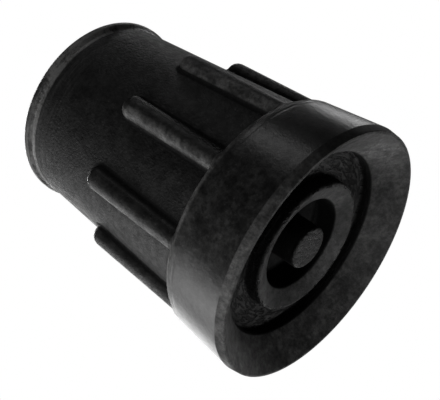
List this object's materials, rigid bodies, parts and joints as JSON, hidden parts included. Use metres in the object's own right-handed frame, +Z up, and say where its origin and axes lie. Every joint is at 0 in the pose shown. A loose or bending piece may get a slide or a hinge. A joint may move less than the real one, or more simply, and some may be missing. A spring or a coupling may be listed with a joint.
{
  "type": "rubber cane tip",
  "caption": "Moulded rubber cane tip: ribbed tapering sleeve with a blind shaft socket, flared collar and a dished foot with a tread ring.",
  "frame": {"origin": "on the ground under the foot, on the axis of the shaft socket", "axes": "+Z up along the socket's axis, out of its mouth; +X through the middle of one rib"},
  "size_m": [0.038, 0.038, 0.0468],
  "materials": {
    "rubber": "moulded black rubber, satin, with a fine dusty bloom"
  },
  "bodies": {
    "root": {"cane_tip": "rubber"}
  },
  "joints": []
}
